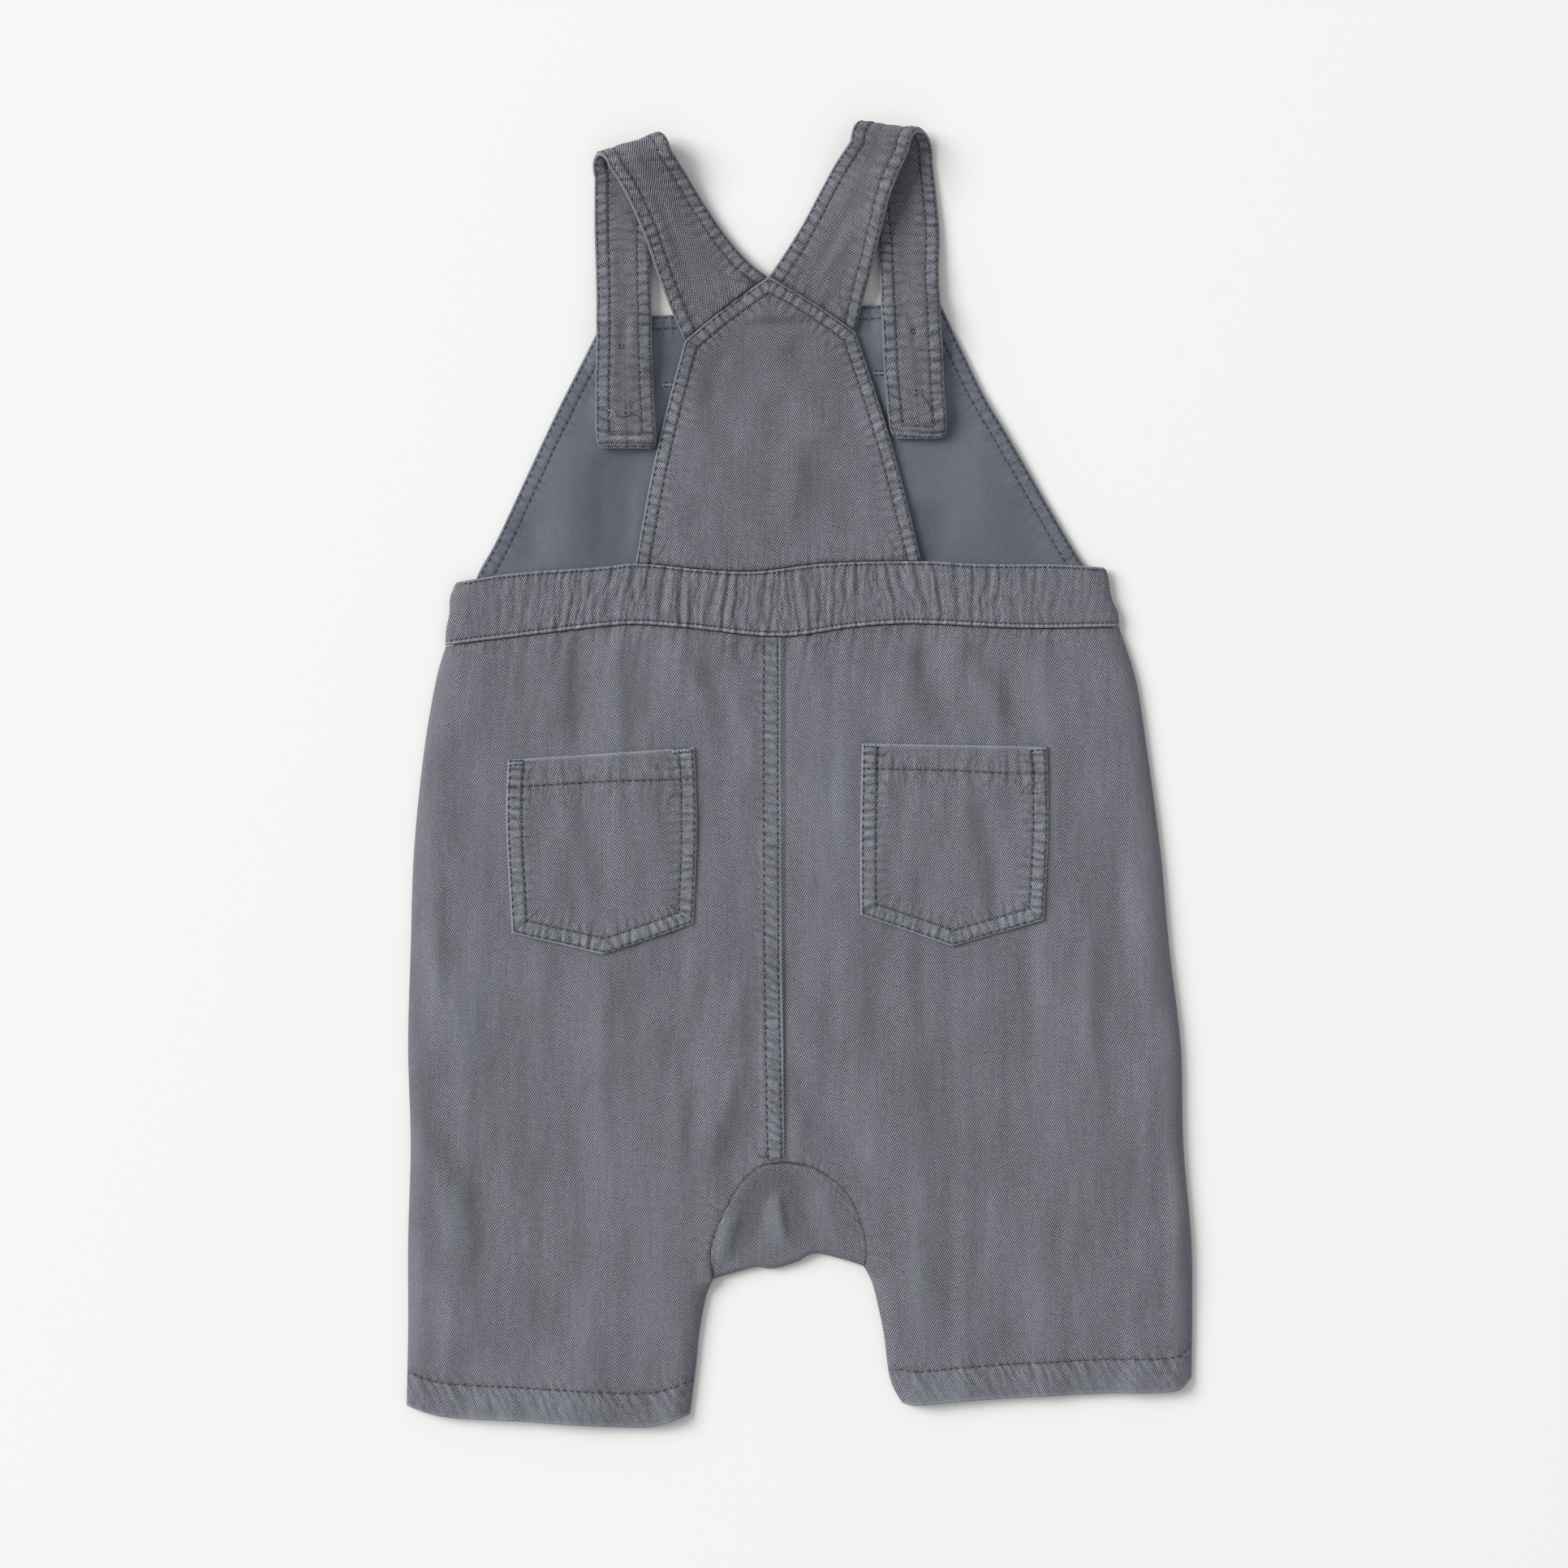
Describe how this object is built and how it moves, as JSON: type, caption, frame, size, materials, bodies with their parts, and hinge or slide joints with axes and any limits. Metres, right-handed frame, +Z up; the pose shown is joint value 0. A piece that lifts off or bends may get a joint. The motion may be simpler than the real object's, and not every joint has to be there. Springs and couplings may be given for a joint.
{
  "type": "kids dungarees",
  "caption": "Short cotton twill dungarees for a toddler, laid flat face down: bib, folded straps, gathered back waist, patch pockets and a crotch gusset.",
  "frame": {"origin": "middle of the footprint, on the surface that the garment lies on", "axes": "+Y towards the straps, +X to the wearer's right, +Z up out of the back of the garment"},
  "size_m": [0.3105, 0.5146, 0.012],
  "materials": {
    "twill": "garment-dyed cotton twill, matt, slate blue-grey",
    "lining": "plain-weave cotton, matt, slate blue-grey",
    "button": "dyed-to-match four-hole button"
  },
  "bodies": {
    "root": {"bib_outer": "twill", "bib_lining": "lining", "bib_back": "twill", "waistband_back": "twill", "strap_left": "twill", "strap_right": "twill", "leg_front_left": "twill", "leg_front_right": "twill", "leg_back_left": "twill", "leg_back_right": "twill", "pocket_left": "twill", "pocket_right": "twill", "gusset": "twill", "button_left_upper": "button", "button_left_lower": "button", "button_right_upper": "button", "button_right_lower": "button"}
  },
  "joints": []
}
